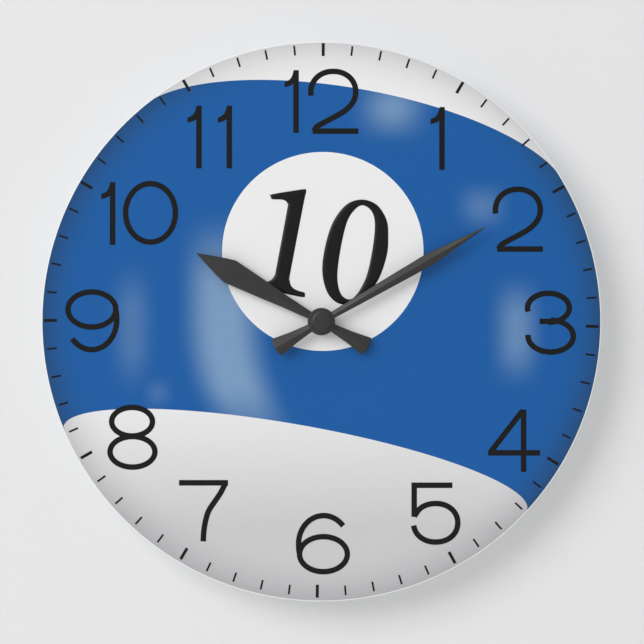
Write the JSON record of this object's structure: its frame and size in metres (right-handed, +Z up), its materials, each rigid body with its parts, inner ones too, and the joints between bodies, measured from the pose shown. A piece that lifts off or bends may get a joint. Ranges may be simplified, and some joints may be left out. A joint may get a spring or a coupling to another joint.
{
  "type": "wall clock",
  "caption": "Round acrylic wall clock with a striped billiard-ball face, dark hands and a quartz movement modelled down to its gear train, coil and battery",
  "frame": {"origin": "on the wall, at the flat back of the movement, on the line of the hand axis", "axes": "+X right as seen from the front, +Y into the wall, +Z up; the face looks towards -Y"},
  "size_m": [0.273, 0.0329, 0.273],
  "materials": {
    "acrylic": "clear acrylic sheet with printed face, glossy",
    "dark_metal": "dark grey enamel, satin",
    "brass": "turned brass",
    "rubber": "black rubber, matt",
    "steel": "zinc-plated sheet steel",
    "case_plastic": "black moulded plastic, fine texture",
    "gear_plastic": "natural acetal",
    "magnet": "sintered magnet, dull",
    "copper": "enamelled copper wire",
    "board": "green circuit laminate",
    "resin": "black potting resin",
    "battery_sleeve": "printed battery sleeve, glossy"
  },
  "bodies": {
    "clock_body": {"dial_disc": "acrylic", "hex_nut": "brass", "brass_washer": "brass", "rubber_washer": "rubber", "hanger_bracket": "steel", "threaded_bushing": "brass", "front_case": "case_plastic", "back_cover": "case_plastic", "middle_plate": "gear_plastic", "coil_core": "steel", "coil_bobbin": "gear_plastic", "coil_winding": "copper", "stator": "steel", "circuit_board": "board", "chip_cover": "resin", "quartz_crystal": "steel", "positive_contact": "steel", "negative_contact": "steel"},
    "minute_hand_body": {"minute_hand": "dark_metal", "cap_nut": "dark_metal", "minute_arbor": "brass", "clutch_spring": "steel"},
    "hour_hand_body": {"hour_hand": "dark_metal", "hour_wheel": "gear_plastic"},
    "minute_wheel_body": {"minute_wheel": "gear_plastic"},
    "setting_knob_body": {"setting_knob": "case_plastic", "setting_pinion": "gear_plastic"},
    "seconds_wheel_body": {"seconds_wheel": "gear_plastic"},
    "intermediate_body": {"intermediate_wheel": "gear_plastic"},
    "rotor_body": {"rotor_magnet": "magnet", "rotor_pinion": "gear_plastic"},
    "third_wheel_body": {"third_wheel": "gear_plastic"},
    "centre_wheel_body": {"centre_wheel": "gear_plastic"},
    "battery_body": {"battery": "battery_sleeve"}
  },
  "joints": [
    {"name": "minute_hand_turn", "type": "hinge", "parent": "clock_body", "child": "minute_hand_body", "pos_m": [0, 0, 0], "axis": [0, 1, 0], "continuous": true},
    {"name": "hour_hand_turn", "type": "hinge", "parent": "clock_body", "child": "hour_hand_body", "pos_m": [0, 0, 0], "axis": [0, 1, 0], "continuous": true},
    {"name": "minute_wheel_turn", "type": "hinge", "parent": "clock_body", "child": "minute_wheel_body", "pos_m": [-0.00886, 0, 0.00156], "axis": [0, 1, 0], "continuous": true},
    {"name": "setting_knob_turn", "type": "hinge", "parent": "clock_body", "child": "setting_knob_body", "pos_m": [-0.01576, 0, 0.00735], "axis": [0, 1, 0], "continuous": true},
    {"name": "seconds_wheel_turn", "type": "hinge", "parent": "clock_body", "child": "seconds_wheel_body", "pos_m": [0, 0, 0], "axis": [0, 1, 0], "continuous": true},
    {"name": "intermediate_turn", "type": "hinge", "parent": "clock_body", "child": "intermediate_body", "pos_m": [-0.00138, 0, 0.0078], "axis": [0, 1, 0], "continuous": true},
    {"name": "rotor_turn", "type": "hinge", "parent": "clock_body", "child": "rotor_body", "pos_m": [0.00357, 0, 0.01275], "axis": [0, 1, 0], "continuous": true},
    {"name": "third_wheel_turn", "type": "hinge", "parent": "clock_body", "child": "third_wheel_body", "pos_m": [0.00846, 0, 0.00308], "axis": [0, 1, 0], "continuous": true},
    {"name": "centre_wheel_turn", "type": "hinge", "parent": "clock_body", "child": "centre_wheel_body", "pos_m": [0, 0, 0], "axis": [0, 1, 0], "continuous": true},
    {"name": "battery_out", "type": "slide", "parent": "clock_body", "child": "battery_body", "axis": [0, 1, 0], "range_m": [0, 0.016]}
  ],
  "couplings": [
    {"joint": "minute_wheel_turn", "follows": "minute_hand_turn", "ratio": -0.33333},
    {"joint": "hour_hand_turn", "follows": "minute_hand_turn", "ratio": 0.083333},
    {"joint": "setting_knob_turn", "follows": "minute_hand_turn", "ratio": 1},
    {"joint": "intermediate_turn", "follows": "seconds_wheel_turn", "ratio": -5},
    {"joint": "rotor_turn", "follows": "seconds_wheel_turn", "ratio": 30},
    {"joint": "third_wheel_turn", "follows": "seconds_wheel_turn", "ratio": -0.13333},
    {"joint": "centre_wheel_turn", "follows": "seconds_wheel_turn", "ratio": 0.016667}
  ]
}
